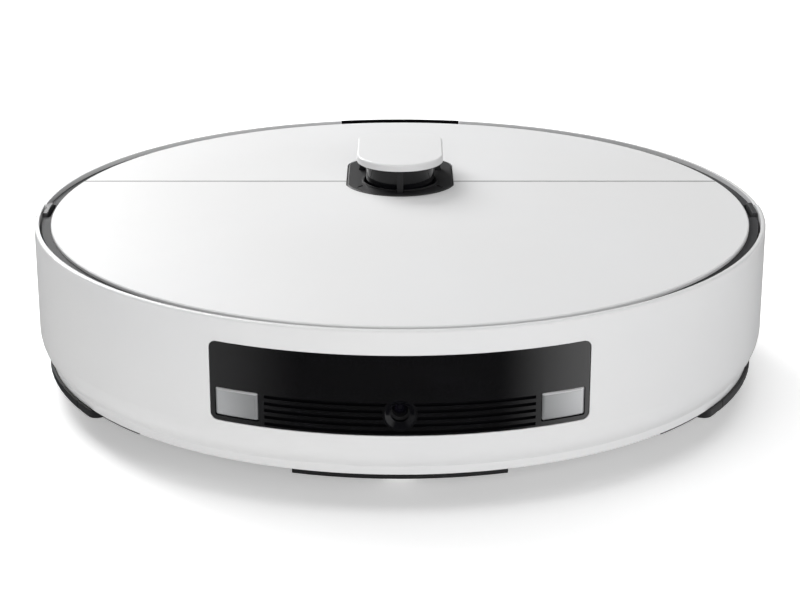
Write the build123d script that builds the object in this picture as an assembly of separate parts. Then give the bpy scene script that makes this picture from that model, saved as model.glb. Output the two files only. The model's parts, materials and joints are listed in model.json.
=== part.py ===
from build123d import *
from math import acos, atan2, cos, pi, radians, sin, sqrt, tan
import os

# Robot vacuum cleaner: round drive base with a sprung front bumper, a lift-off cover over the dustbin,
# a laser turret behind the middle, two sprung drive wheels, a caster, a main brush and a side brush.
#
# Frame: millimetres, +Z up, origin on the floor under the centre of the body. The bumper faces -Y.
# Each piece is written to parts/NODE.step.

# ---- driving dimensions ------------------------------------------------------------------------

# body
body_radius = 175.0
wall = 2.2
cover_top = 81.5            # top of the lift-off cover
cover_radius = 167.3
cover_thickness = 1.8
bumper_rim = 82.3           # the bumper's rim stands proud of the cover
tuck_radius = 17.7          # the wall curls under with this radius
tuck_angle = 46.0
lip_top = 19.9
lip_bottom = 16.2
bumper_end_y = 4.0          # where the bumper stops at each side
bumper_travel = 3.0
seam_y = 48.5               # the cover ends here, and the rear panel starts
seam_gap = 0.5

# base
floor_gap = 12.3            # from the floor to the base plate
plate = 2.7
skirt_radius = 171.0
skirt_edge = 0.8            # rounding of the skirt's lower edge
skirt_corner = 4.5          # rounding of its front ends, seen from above
skirt_groove = 59.5         # a moulded groove across the skirt's face, in degrees from the front
rib_angle = 42.7            # the thin rib under the bumper's lip starts here
rib_radius = 169.2
chin_radius = 166.5
chin_angle = 16.0           # half width of the chin at the front, in degrees
recess_angle = 54.0         # the two side-brush recesses end here
recess_bottom = 17.0
tub_radius = 162.5
deck_bottom = 77.0
deck_top = 79.5

# front window and what looks through it
window_half_width = 80.0
window_bottom = 35.9
window_top = 71.5
camera_z = 45.3
camera_front_y = -168.4
slot_count = 5
slot_pitch = 3.0
slot_height = 1.4
slot_top = 50.3
slot_half_length = 56.7
lamp_inner_x = 59.3
lamp_outer_x = 77.6
lamp_bottom = 38.3
lamp_top = 50.5

# laser turret
turret_y = 48.5
turret_radius = 17.1
pulley_radius = 20.0
cap_top = 97.0
cap_thickness = 3.6
cap_half_width = 21.6
lds_motor_y = 84.0
lds_motor_pulley = 5.0

# drive wheels, drawn for the +X side and mirrored for the other
wheel_radius = 35.0
wheel_y = 6.0
wheel_inner_x = 116.4
wheel_outer_x = 140.4
pivot_y = 54.0
pivot_z = 42.0
gear_module = 0.8
pinion_teeth = 15
gear_teeth = 45
motor_lift = 35.0           # direction from the axle to the motor, in degrees above the horizontal
case_inner_x = 97.0
case_outer_x = 113.0

# main brush
brush_y = -30.0
brush_z = 24.0
brush_radius = 22.0
brush_half_length = 76.0
chamber_radius = 25.5

# dustbin, in front of the brush and over it
bin_half_width = 66.0
bin_front = -114.0
bin_step = -60.6
bin_back = -22.0
bin_bottom = 19.8
bin_step_z = 54.5
bin_top = 76.0
bin_wall = 1.8
inlet_half_width = 34.0
inlet_bottom = 29.0
inlet_top = 44.0

# fan, on the filter side of the bin
fan_y = -87.0
fan_z = 48.0
fan_radius = 27.5
fan_inner_x = 69.0
fan_outer_x = 92.0

# caster and side brush
caster_y = -138.0
caster_wheel_radius = 9.0
caster_trail = 5.0
side_brush_x = -80.0
side_brush_y = -97.0

# the bumper's two return springs, between a seat on the bumper and a pad on the base
bumper_spring_x = 60.0
spring_front = 160.4
spring_back = 153.4
spring_z = 30.2


# ---- small helpers -----------------------------------------------------------------------------

def save(name, *shapes):
    """Writes one node. Several shapes become one node of separate solids."""
    shape = shapes[0] if len(shapes) == 1 else Compound(children=list(shapes))
    shape.label = name
    export_step(shape, f"parts/{name}.step")


def block(x0, x1, y0, y1, z0, z1):
    """A box between two corners."""
    return Pos((x0 + x1) / 2, (y0 + y1) / 2, (z0 + z1) / 2) * Box(x1 - x0, y1 - y0, z1 - z0)


def soft_block(x0, x1, y0, y1, z0, z1, r):
    """A box whose upright edges are rounded."""
    outline = RectangleRounded(x1 - x0, y1 - y0, r)
    return Pos((x0 + x1) / 2, (y0 + y1) / 2, z0) * extrude(outline, z1 - z0)


def post(x, y, z0, z1, r):
    """An upright cylinder."""
    return Pos(x, y, (z0 + z1) / 2) * Cylinder(r, z1 - z0)


def rod(x0, x1, y, z, r):
    """A cylinder along X."""
    return Pos((x0 + x1) / 2, y, z) * Rot(0, 90, 0) * Cylinder(r, x1 - x0)


def rod_y(x, y0, y1, z, r):
    """A cylinder along Y."""
    return Pos(x, (y0 + y1) / 2, z) * Rot(90, 0, 0) * Cylinder(r, y1 - y0)


def turned(*edges):
    """Turns an outline in the XZ plane about Z."""
    return revolve(make_face(Curve() + list(edges)), Axis.Z, 360)


def line(*points):
    """Straight runs between (radius, z) points in the XZ plane."""
    return Polyline(*[(r, 0, z) for r, z in points])


def ring(outer, inner, z0, z1):
    return post(0, 0, z0, z1, outer) - post(0, 0, z0 - 1, z1 + 1, inner)


def sector(angle_from, angle_to, radius, z0, z1):
    """A wedge from the centre. Angles are in degrees from the front, towards +X."""
    a, b = radians(angle_from), radians(angle_to)
    reach = radius / cos((b - a) / 2)
    points = [(0, 0)] + [(reach * sin(t), -reach * cos(t)) for t in (a, (a + b) / 2, b)]
    return Pos(0, 0, z0) * extrude(make_face(Polyline(*points, close=True)), z1 - z0)


def both_sides(shape):
    return shape + mirror(shape, about=Plane.YZ)


def x_hull(x0, x1, *circles):
    """A plate along X around circles given as (y, z, radius), each joined to the next by tangents."""
    bodies = []
    for (ya, za, ra), (yb, zb, rb) in zip(circles, circles[1:]):
        reach = sqrt((yb - ya) ** 2 + (zb - za) ** 2)
        lean = atan2(zb - za, yb - ya)
        spread = acos((ra - rb) / reach)
        corners = []
        for y, z, r, side in ((ya, za, ra, 1), (yb, zb, rb, 1), (yb, zb, rb, -1), (ya, za, ra, -1)):
            t = lean + side * spread
            corners.append((x0, y + r * cos(t), z + r * sin(t)))
        web = extrude(make_face(Polyline(*corners, close=True)), amount=x1 - x0, dir=(1, 0, 0))
        bodies.append(web)
    solid = rod(x0, x1, *circles[0])
    for part in bodies + [rod(x0, x1, *circle) for circle in circles[1:]]:
        solid += part
    return solid


# ---- shell of the body -------------------------------------------------------------------------

def wall_ring(rim, edge):
    """The body's outer wall all the way round: upright, curled under at the foot, with an upright lip."""
    a = radians(tuck_angle)
    centre = body_radius - tuck_radius
    tuck_z = lip_top + tuck_radius * sin(a)
    inner = tuck_radius - wall
    mid = a / 2

    def on_arc(r, t):
        return (centre + r * cos(t), 0, tuck_z - r * sin(t))

    lip_radius = on_arc(tuck_radius, a)[0]
    half = edge * (1 - cos(pi / 4))
    outside = [
        line((body_radius - wall, rim), (body_radius - edge, rim)),
        ThreePointArc((body_radius - edge, 0, rim), (body_radius - half, 0, rim - half),
                      (body_radius, 0, rim - edge)),
        line((body_radius, rim - edge), (body_radius, tuck_z)),
        ThreePointArc(on_arc(tuck_radius, 0), on_arc(tuck_radius, mid), on_arc(tuck_radius, a)),
        line((lip_radius, lip_top), (lip_radius, lip_bottom), (lip_radius - wall, lip_bottom),
             (lip_radius - wall, lip_top)),
        Line((lip_radius - wall, 0, lip_top), on_arc(inner, a)),
        ThreePointArc(on_arc(inner, a), on_arc(inner, mid), on_arc(inner, 0)),
        line((body_radius - wall, tuck_z), (body_radius - wall, rim)),
    ]
    return turned(*outside)


def front_prism(x0, x1, z0, z1, r, y0=-180.0, y1=-120.0):
    """A block along Y with rounded edges, for cutting or trimming the front wall."""
    outline = RectangleRounded(x1 - x0, z1 - z0, r)
    return Pos((x0 + x1) / 2, y1, (z0 + z1) / 2) * Rot(90, 0, 0) * extrude(outline, y1 - y0)


def make_bumper():
    shell = wall_ring(bumper_rim, 1.1) - block(-200, 200, bumper_end_y, 200, 0, 100)
    shell -= front_prism(-window_half_width, window_half_width, window_bottom, window_top, 3.2)
    seat = block(bumper_spring_x - 5, bumper_spring_x + 5, -175, -spring_front, 26, 34.4)
    seat = seat & post(0, 0, 0, 100, body_radius - 1.75)
    return shell + both_sides(seat)


def make_rear_shell():
    """The fixed rear half. Its two front ends step inwards, and the bumper slides over them."""
    start = bumper_end_y + bumper_travel + 0.3
    shell = wall_ring(cover_top, 1.1) - block(-200, 200, -200, start, 0, 100)
    tongue = ring(body_radius - wall - 0.5, body_radius - 2 * wall - 0.5, 36, cover_top - 0.3)
    tongue = tongue & block(-200, 200, -6, start + 4, 0, 100)
    overlap = ring(body_radius - wall + 0.2, body_radius - 2 * wall - 0.5, 36, cover_top - 0.3)
    overlap = overlap & block(-200, 200, start, start + 4, 0, 100)
    shell += tongue + overlap
    shell -= block(-33, 33, 100, 200, 38, 100)
    vents = [Rot(0, 0, side * (26 + 3.0 * i)) * front_prism(-1.1, 1.1, 46, 66, 1.0) for i in range(8)
             for side in (-1, 1)]
    return shell - [Rot(0, 0, 180) * vent for vent in vents]


def make_rear_window():
    """Dark window for the docking sensors, between the two halves of the rear rim."""
    window = wall_ring(cover_top, 0.8) & block(-32.8, 32.8, 100, 200, 38.2, 100)
    return window - both_sides(contact_ring(0.1))


def contact_ring(grow=0.0):
    strip = ring(body_radius + 0.25, body_radius - 0.8 - grow, 44 - grow, 50 + grow)
    return strip & block(14 - grow, 28 + grow, 100, 200, 0, 100)


def make_charging_contacts():
    contact = contact_ring()
    return contact, mirror(contact, about=Plane.YZ)


def make_sensor_window():
    band = ring(body_radius - 0.3, body_radius - 2.4, window_bottom - 1, window_top + 1)
    clear = 0.15
    band = band & front_prism(-window_half_width + clear, window_half_width - clear,
                              window_bottom + clear, window_top - clear, 3.0)
    slots = []
    for i in range(slot_count):
        top = slot_top - i * slot_pitch
        slots.append(block(-slot_half_length, slot_half_length, -180, -150, top - slot_height, top))
    grooves = slots[0]
    for slot in slots[1:]:
        grooves += slot
    grooves -= rod_y(0, -180, -140, camera_z, 7.4)
    grooves -= post(0, 0, 0, 100, body_radius - 1.6)
    band -= grooves
    for side in (-1, 1):
        x0, x1 = sorted((side * lamp_inner_x, side * lamp_outer_x))
        band -= front_prism(x0 - 0.3, x1 + 0.3, lamp_bottom - 0.3, lamp_top + 0.3, 0.9)
    bezel = Pos(0, -body_radius + 1.5, camera_z) * Rot(90, 0, 0) * Cone(4.2, 6.6, 3.0)
    return band - bezel - rod_y(0, -180, -160, camera_z, 4.2)


def make_headlamps():
    block_ring = ring(body_radius - 0.05, body_radius - 3.0, lamp_bottom - 1, lamp_top + 1)
    lamp = block_ring & front_prism(lamp_inner_x, lamp_outer_x, lamp_bottom, lamp_top, 0.7)
    return lamp, mirror(lamp, about=Plane.YZ)


def plinth_outline(grow=0.0):
    """Outline of the turret's surround: a round front, straight sides and rounded rear corners."""
    half = 26.7 + grow
    r = 27.7 + grow
    cy = 48.8
    y0 = cy - sqrt(r * r - half * half)
    edges = Curve() + [
        ThreePointArc((-half, y0), (0, cy - r), (half, y0)),
        Line((half, y0), (half, 87 + grow)),
        ThreePointArc((half, 87 + grow), (0, 91.5 + grow), (-half, 87 + grow)),
        Line((-half, 87 + grow), (-half, y0)),
    ]
    face = make_face(edges)
    return fillet(face.vertices().sort_by(Axis.Y)[-2:], 13 + grow)


def cap_outline(shrink=0.0):
    half = cap_half_width - shrink
    edges = Curve() + [
        ThreePointArc((-half, 45.1), (0, 45.1 - half), (half, 45.1)),
        Line((half, 45.1), (half, 83.5 - shrink)),
        ThreePointArc((half, 83.5 - shrink), (0, 86.8 - shrink), (-half, 83.5 - shrink)),
        Line((-half, 83.5 - shrink), (-half, 45.1)),
    ]
    face = make_face(edges)
    return fillet(face.vertices().sort_by(Axis.Y)[-2:], 12.5 - shrink)


magnet_places = [(x, y) for x in (-132, 132) for y in (-62, 30)]


def cover_disc(bottom):
    disc = post(0, 0, bottom, cover_top, cover_radius)
    return chamfer(disc.edges().group_by(Axis.Z)[-1], 0.5)


def make_front_cover():
    hole = Pos(0, 0, 70) * extrude(plinth_outline(0.4), 20)
    behind = block(-200, 200, seam_y - seam_gap / 2, 200, 0, 100)
    return cover_disc(cover_top - cover_thickness) - behind - hole


def make_rear_cover():
    hole = Pos(0, 0, 70) * extrude(plinth_outline(0.4), 20)
    return cover_disc(deck_top) - block(-200, 200, -200, seam_y + seam_gap / 2, 0, 100) - hole


def make_cover_magnets():
    return [post(x, y, deck_top - 1.6, cover_top - cover_thickness, 5.0) for x, y in magnet_places]


button_places = {"power_button": (-22.0, -4.0), "home_button": (22.0, -4.0)}


def make_button(name):
    x, y = button_places[name]
    cap = post(x, y, deck_bottom - 0.2, deck_top - 0.6, 6.0)
    cap = fillet(cap.edges().group_by(Axis.Z)[-1], 0.6)
    return cap + post(x, y, deck_bottom - 1.8, deck_bottom - 0.1, 7.4)


def make_top_deck():
    deck = post(0, 0, deck_bottom, deck_top, body_radius - wall - 0.5)
    deck = deck & Pos(0, bumper_travel + 0.3, 0) * deck
    deck -= both_sides(block(body_radius - 6.5, 200, -7.5, 13, 0, 100))
    deck -= soft_block(-bin_half_width - 1.5, bin_half_width + 1.5, bin_front - 1.5, bin_back + 1.5,
                       70, 90, 5)
    deck -= soft_block(-24.4, 24.4, 24.5, 91, 70, 90, 12)
    for x, y in magnet_places:
        deck -= post(x, y, 70, 90, 5.6)
    for x, y in button_places.values():
        deck -= post(x, y, 70, 90, 6.3)
    return deck


# ---- base --------------------------------------------------------------------------------------

battery = (-60.0, 60.0, 6.5, 61.5, 17.4, 45.0)
door = (-54.0, 54.0, 12.0, 58.0)            # x and y limits of the battery opening
door_tab = (-50.0, 50.0, 54.0, 72.0)        # x and y limits of the recess for the door's screw tab
door_screws = [(-42.0, 66.0), (42.0, 66.0)]
well_front = wheel_y - wheel_radius - 5
well_back = pivot_y + 12
cliff_places = [(-26, -157), (26, -157), (-152, -42), (152, -42), (0, 152)]
bracket_z = 37.0                            # shelf for the camera, over the caster's socket
board_posts = [(-58, 101), (58, 101), (-58, 135), (58, 135)]
board_z = 52.0


def make_skirt():
    """The dark wall under the shell, from one side-brush recess round the back to the other."""
    top = floor_gap + plate
    skirt = post(0, 0, floor_gap, lip_bottom - 0.1, skirt_radius)
    skirt -= sector(-recess_angle, recess_angle, 200, 0, 40)
    ends = skirt.edges().filter_by(Axis.Z).sort_by(SortBy.DISTANCE)[-2:]
    skirt = fillet(ends, skirt_corner)
    skirt = fillet(skirt.edges().group_by(Axis.Z)[0].filter_by(GeomType.CIRCLE), skirt_edge)
    skirt -= post(0, 0, top, 40, skirt_radius - 6)
    skirt += ring(skirt_radius - 0.6, skirt_radius - 6, top, lip_bottom) & block(-200, 200, 8, 200, 0, 40)
    rib = ring(rib_radius, rib_radius - 6, lip_bottom - 0.8, lip_bottom - 0.1)
    rib = rib & sector(rib_angle, recess_angle + 3, 200, 0, 40)
    groove = block(-0.3, 0.3, -skirt_radius - 1, -skirt_radius + 0.5, 0, 40)
    for side in (-1, 1):
        skirt -= Rot(0, 0, side * skirt_groove) * groove
    return skirt + both_sides(rib)


def base_plate():
    """The base plate, with a chin at the front between two raised side-brush recesses."""
    top = floor_gap + plate
    chin = post(0, 0, floor_gap, lip_bottom - 0.3, chin_radius)
    chin = fillet(chin.edges().group_by(Axis.Z)[0], 1.6) - post(0, 0, top, 40, chin_radius - 5)
    chin = chin & sector(-chin_angle, chin_angle, 200, 0, 40)
    return make_skirt() + chin + post(0, 0, floor_gap, top, 92)


def recess_roofs():
    """Raised plates over the two side-brush recesses, with a wall down to the plate around them."""
    roof = ring(tub_radius, 60, recess_bottom, recess_bottom + plate)
    roof = roof & sector(chin_angle - 2, recess_angle + 2, 200, 0, 40)
    riser = ring(92, 89.5, floor_gap, recess_bottom + plate)
    riser = riser & sector(chin_angle - 2, recess_angle + 2, 200, 0, 40)
    ends = block(-1.2, 1.2, -tub_radius + 0.5, -90, floor_gap + 1.2, recess_bottom + plate)
    for angle in (chin_angle - 1, recess_angle + 1):
        riser += Rot(0, 0, angle) * ends
    return both_sides(roof + riser)


def make_chassis_base():
    top = floor_gap + plate
    base = base_plate() + recess_roofs()
    base += ring(tub_radius, tub_radius - 2.2, top - 0.5, deck_bottom)

    # wheel wells: the floor is open, and three walls keep dust out of the body
    well = block(case_inner_x - 0.4, wheel_outer_x + 5, well_front, well_back, 0, top + 1)
    walls = block(93.8, wheel_outer_x + 7, well_back, well_back + 2, floor_gap + 1, 70)
    walls += block(93.8, wheel_outer_x + 7, well_front - 2, well_front, floor_gap + 1, 70)
    walls += block(wheel_outer_x + 5, wheel_outer_x + 7, well_front - 2, well_back + 2, floor_gap + 1, 70)
    lug = block(93.8, 96.4, pivot_y - 6, well_back + 1, top - 0.5, pivot_z + 8)
    lug += block(case_outer_x + 0.5, case_outer_x + 2.7, pivot_y - 6, well_back + 1, pivot_z - 8, pivot_z + 8)
    lug -= rod(90, 120, pivot_y, pivot_z, 2.5)
    base -= both_sides(well)
    base += both_sides(walls + lug)

    # mouth of the brush chamber, battery opening, caster socket and hole for the side brush shaft
    base -= soft_block(-86, 86, brush_y - 32, brush_y + 32, 0, 30, 5.5)
    base -= soft_block(*door, 0, 30, 3)
    for x, y in door_screws:
        base += post(x, y, floor_gap + 1, 21, 4.0)
        base -= post(x, y, 0, 20, 1.6)
    base -= soft_block(*door_tab, 0, floor_gap + 2.0, 4)
    base += post(0, caster_y, floor_gap + 1, 26, 20.5) + post(0, caster_y, 20, bracket_z - 0.5, 8)
    base -= post(0, caster_y, 0, 23, 18.3)
    base -= post(0, caster_y, 20, 34.4, 4.05)
    base -= post(side_brush_x, side_brush_y, 0, 30, 6.0)

    # shelf for the camera, and the tub's opening in front of it
    base += both_sides(block(30, 40, -150, -134, top - 0.5, bracket_z - 0.5))
    base += block(-40, 40, -150, -134, bracket_z - 0.8, bracket_z)
    base -= front_prism(-42, 42, bracket_z + 0.5, 71, 3, -170, -152)

    # pads for the bumper's springs, posts for the main board and pockets for the drop sensors
    pad = block(bumper_spring_x - 5, bumper_spring_x + 5, -spring_back, -140, 25.6, 36)
    base += both_sides(pad - post(0, 0, 0, 100, tub_radius - 1))
    for x, y in board_posts:
        base += post(x, y, top - 0.5, board_z, 3.0)
    for x, y in cliff_places:
        base -= soft_block(x - 8.2, x + 8.2, y - 4.2, y + 4.2, 0, 24, 1.5)
    return base


def make_cliff_sensors():
    """Drop sensors: dark windows flush with the underside."""
    z0 = floor_gap + 0.3
    return [soft_block(x - 8.1, x + 8.1, y - 4.1, y + 4.1, z0, z0 + 3.4, 1.4) for x, y in cliff_places]


def make_battery_pack():
    pack = soft_block(*battery, 3)
    lead = battery[5]
    return pack - [block(x - 0.5, x + 0.5, 0, 70, lead - 1.2, lead + 1) for x in (-20, 20)]


def make_battery_door():
    gap = 0.3
    x0, x1, y0, y1 = door
    lid = soft_block(x0 + gap, x1 - gap, y0 + gap, y1 - gap, floor_gap, 14.9, 2.7)
    x0, x1, y0, y1 = door_tab
    lid += soft_block(x0 + gap, x1 - gap, y0 + gap, y1 - gap, floor_gap, floor_gap + 1.9, 3.7)
    for x, y in door_screws:
        lid -= post(x, y, 0, 20, 1.6)
        lid -= post(x, y, 0, floor_gap + 1.0, 3.3)
    return lid


def make_door_screws():
    screws = []
    head = floor_gap + 0.1
    for x, y in door_screws:
        screw = post(x, y, head, floor_gap + 1.0, 3.0) + post(x, y, head + 0.5, 19.5, 1.5)
        slots = block(x - 2, x + 2, y - 0.4, y + 0.4, 0, head + 0.5)
        slots += block(x - 0.4, x + 0.4, y - 2, y + 2, 0, head + 0.5)
        screws.append(screw - slots)
    return screws


def make_main_board():
    top = board_z + 1.6
    board = soft_block(-66, 66, 95, 141, board_z, top, 4)
    chips = [(-46, 108, 16, 12, 4), (-20, 126, 22, 22, 3), (14, 118, 14, 14, 2.4), (38, 112, 10, 18, 7),
             (46, 130, 14, 8, 8), (-50, 130, 12, 8, 8), (6, 134, 24, 6, 5), (-26, 102, 10, 6, 3)]
    for x, y, w, d, h in chips:
        board += block(x - w / 2, x + w / 2, y - d / 2, y + d / 2, top - 0.1, top + h)
    return board


# ---- brush chamber, brushes and their drives ---------------------------------------------------

def make_brush_chamber():
    r = chamber_radius + 1.8
    shell = rod(-83, 83, brush_y, brush_z, r)
    shell += block(-83, 83, brush_y - r, brush_y + r, 15.0, brush_z)
    shell += block(-83, 83, -61.8, 5, 15.0, 16.8)
    shell -= block(-90, 90, -100, 50, -20, 15.0)
    inside = rod(-81, 81, brush_y, brush_z, chamber_radius)
    inside += block(-81, 81, brush_y - chamber_radius, brush_y + chamber_radius, 0, brush_z)
    duct = block(-inlet_half_width - 1.8, inlet_half_width + 1.8, bin_step + 0.4, brush_y - 18,
                 inlet_bottom - 1.8, inlet_top + 1.8)
    shell += duct
    shell -= inside
    shell -= block(-inlet_half_width, inlet_half_width, -80, brush_y - 15, inlet_bottom, inlet_top)
    shell -= rod(-90, 90, brush_y, brush_z, 4.2)
    return shell


def make_brush_guard():
    """Frame clipped into the underside around the brush mouth, with a latch tab at each end."""
    guard = soft_block(-85.5, 85.5, brush_y - 31.5, brush_y + 31.5, floor_gap - 1.2, 14.9, 5)
    guard -= soft_block(-79, 79, brush_y - 23.2, brush_y + 23.2, 0, 20, 4)
    guard = chamfer(guard.edges().group_by(Axis.Z)[0], 0.6)
    for side in (-1, 1):
        guard -= soft_block(side * 60 - 12, side * 60 + 12, brush_y + 25.4, brush_y + 29.4,
                            0, floor_gap + 0.2, 1.5)
    for x in range(-70, 71, 10):
        guard += block(x - 0.9, x + 0.9, brush_y - 24, brush_y - 20.6, 11.2, 13.6)
    return guard


def make_brush_core():
    core = rod(-brush_half_length, brush_half_length, brush_y, brush_z, 9.0)
    core += rod(-82.6, 80, brush_y, brush_z, 3.4)
    ends = [rod(x, x + 3, brush_y, brush_z, 12.5) for x in (-brush_half_length, brush_half_length - 3)]
    return core + ends


def make_brush_fins():
    """Six rubber fins, twisted one way on each half so that they meet in a V."""
    fin_count = 6
    star = None
    for i in range(fin_count):
        strip = Rectangle(brush_radius - 8.9, 2.0)
        fin = Rot(0, 0, 360 / fin_count * i) * Pos((9 + brush_radius) / 2, 0) * strip
        star = fin if star is None else star + fin
    ring_face = Circle(10.6) - Circle(9.0)
    face = (star + ring_face - Circle(9.0)).face()
    half = brush_half_length - 3.2
    turn = 46.0
    right = Solid.extrude_linear_with_rotation(face, (0, 0, 0), (0, 0, half), turn)
    stand = Pos(0, brush_y, brush_z) * Rot(0, 90, 0)
    right = stand * Part(right.wrapped)
    return right, mirror(right, about=Plane.YZ)


def make_brush_drive():
    """Gearbox and motor that turn the main brush from its left end."""
    case = x_hull(-93.3, -84.6, (brush_y, brush_z + 4, 12), (-66, 46, 13))
    case -= rod(-100, -80, brush_y, brush_z, 3.6)
    motor = rod(-126, -93.3, -66, 46, 12) + rod(-129, -126, -66, 46, 4)
    return case + motor


def make_side_brush_drive():
    x, y = side_brush_x, side_brush_y
    case = soft_block(x - 17, x + 13.5, y - 21, y + 15, recess_bottom + plate + 0.1, 40, 6)
    case += post(x - 3, y - 4, 40, 66, 11) + post(x - 3, y - 4, 66, 68, 4)
    return case - post(x, y, 0, 30, 3.1)


def make_side_brush_hub():
    x, y = side_brush_x, side_brush_y
    hub = Pos(x, y, 9.1) * Cone(8.0, 5.4, 4.2) + post(x, y, 6.4, 7.2, 8.0)
    hub += post(x, y, 10, 29.5, 3.0)
    arms = block(-17, 17, -3.4, 3.4, 6.4, 9.6)
    arms = fillet(arms.edges().filter_by(Axis.Z), 3.0)
    hub += Pos(x, y, 0) * Rot(0, 0, -30) * arms
    screw_seat = post(x, y, 5.0, 7.6, 2.4)
    return hub - screw_seat


def make_side_brush_bristles():
    """Two tufts of bristles, each a flat fan that dips towards the floor."""
    x, y = side_brush_x, side_brush_y
    outline = make_face(Polyline((17.2, 0, 9.2), (48, 0, 4.0), (48, 0, 2.4), (17.2, 0, 6.8), close=True))
    fan = extrude(outline, amount=3.2, both=True, dir=(0, 1, 0))
    tufts = [Pos(x, y, 0) * Rot(0, 0, -30 + 180 * i) * fan for i in (0, 1)]
    return tufts


# ---- dustbin and fan ---------------------------------------------------------------------------

filter_y = (-108.0, -66.0)
filter_z = (26.0, 72.0)


def make_dustbin_body():
    def shape(inset, top):
        w = bin_half_width - inset
        low = soft_block(-w, w, bin_front + inset, bin_step - inset, bin_bottom + inset, top, 5 - inset)
        high = soft_block(-w, w, bin_front + inset, bin_back - inset, bin_step_z + inset, top, 5 - inset)
        return low + high
    body = shape(0, bin_top) - shape(bin_wall, bin_top + 5)
    body -= block(-inlet_half_width, inlet_half_width, bin_step - 4, bin_step + 1, inlet_bottom, inlet_top)
    body -= block(bin_half_width - 3, bin_half_width + 2, filter_y[0] + 2, filter_y[1] - 2,
                  filter_z[0] + 2, filter_z[1] - 2)
    return body


def make_dustbin_lid():
    w = bin_half_width
    lid = soft_block(-w, w, bin_front, bin_back, bin_top, 78.6, 5)
    rim = soft_block(-w + 2, w - 2, bin_front + 2, bin_back - 2, bin_top - 2.5, bin_top, 3.2)
    rim -= soft_block(-w + 3.6, w - 3.6, bin_front + 3.6, bin_back - 3.6, 60, bin_top, 2)
    rim -= block(bin_half_width - 9, bin_half_width, filter_y[0] - 2, filter_y[1] + 2, 60, 76)
    grip = soft_block(-30, 30, -92, -44, 77.0, 80, 6)
    pins = both_sides(block(24, 32.4, -49.2, -44.8, 77.0, 80))
    return lid + rim - grip - pins


def make_dustbin_handle():
    """A bail that lies in the lid and swings up on its two pins."""
    bail = soft_block(-29.4, 29.4, -91.4, -60, 77.2, 78.9, 5.5)
    bail += block(-29.4, 29.4, -70, -46.6, 77.2, 78.9)
    bail -= soft_block(-23.4, 23.4, -85.4, -40.0, 70, 90, 4)
    bail += rod(-32.0, -28, -47.0, 78.1, 0.9) + rod(28, 32.0, -47.0, 78.1, 0.9)
    return bail


def make_dust_filter():
    y0, y1 = filter_y
    z0, z1 = filter_z
    frame = block(57.5, 64.1, y0, y1, z0, z1) - block(50, 70, y0 + 3, y1 - 3, z0 + 3, z1 - 3)
    pleat = None
    count = 18
    step = (y1 - y0 - 6.6) / count
    zigzag = []
    for i in range(count + 1):
        zigzag.append((58.4 if i % 2 else 62.6, y0 + 3.3 + i * step))
    back = [(x + 0.9, y) for x, y in reversed(zigzag)]
    pleat = extrude(make_face(Polyline(*zigzag, *back, close=True)), z1 - z0 - 6.4)
    return frame + Pos(0, 0, z0 + 3.2) * pleat + block(57.5, 64.1, y0 + 2.5, y0 + 3.6, z0, z1) \
        + block(57.5, 64.1, y1 - 3.6, y1 - 2.5, z0, z1)


def make_fan_housing():
    shell = rod(fan_inner_x, fan_outer_x, fan_y, fan_z, fan_radius)
    shell -= rod(fan_inner_x + 2, fan_outer_x - 2, fan_y, fan_z, fan_radius - 2)
    shell -= rod(60, fan_inner_x + 5, fan_y, fan_z, 15)
    shell -= rod(fan_outer_x - 5, 100, fan_y, fan_z, 3.2)
    spout = block(fan_inner_x, fan_outer_x, fan_y, fan_y + 36, fan_z + 11, fan_z + fan_radius)
    spout -= rod(60, 100, fan_y, fan_z, fan_radius - 1)
    outlet = block(fan_inner_x + 2, fan_outer_x - 2, fan_y + 8, fan_y + 40,
                   fan_z + 13, fan_z + fan_radius - 2)
    return shell + spout - outlet


def make_fan_motor():
    motor = rod(fan_outer_x, fan_outer_x + 20, fan_y, fan_z, 18) + rod(112, 114.5, fan_y, fan_z, 6)
    return motor - rod(80, 120, fan_y, fan_z, 3.2)


def make_fan_impeller():
    disc = rod(84.5, 86.5, fan_y, fan_z, 23) + rod(75, 86, fan_y, fan_z, 5)
    shaft = rod(84, 110, fan_y, fan_z, 3.1)
    blade_count = 9
    blade = block(76, 84.8, 6.5, 22.4, -0.7, 0.7)
    blades = disc + shaft
    for i in range(blade_count):
        turn = Pos(0, fan_y, fan_z) * Rot(360 / blade_count * i, 0, 0) * Pos(0, 0, 3.0) * blade
        blades += turn
    return blades


# ---- bumper hardware and camera ----------------------------------------------------------------

def make_bumper_springs():
    """Two coil springs that push the bumper forwards."""
    wire = 0.9
    length = spring_front - spring_back - wire - 0.3
    coil = Helix(pitch=length / 3.5, height=length, radius=3.0)
    spring = sweep(Plane(origin=coil @ 0, z_dir=coil % 0) * Circle(wire / 2), path=coil, is_frenet=True)
    start = -spring_back - wire / 2 - 0.15
    spring = Pos(bumper_spring_x, start, spring_z) * Rot(90, 0, 0) * spring
    return spring, mirror(spring, about=Plane.YZ)


def make_bump_switches():
    """Switches on the tub, each with a plunger that the bumper presses."""
    switch = block(94, 106, -131, -118, 30, 38) - post(0, 0, 0, 100, tub_radius)
    switch += rod_y(100, -136.3, -130, 34, 1.6)
    return switch, mirror(switch, about=Plane.YZ)


def make_camera_module():
    barrel = rod_y(0, camera_front_y, -158, camera_z, 4.9) - rod_y(0, -170, -164, camera_z, 3.5)
    board = block(-12, 12, -158, -154, camera_z - 8, camera_z + 8)
    foot = block(-10, 10, -154, -150.5, 38, camera_z + 4) + block(-10, 10, -154, -146, bracket_z, 38.5)
    return barrel + board + foot


def make_camera_lens():
    dome = Pos(0, camera_front_y + 4.6, camera_z) * Sphere(3.4)
    dome = dome & rod_y(0, -170, camera_front_y + 3.4, camera_z, 5)
    return dome + rod_y(0, camera_front_y + 3.4, -164.1, camera_z, 3.3)


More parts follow.
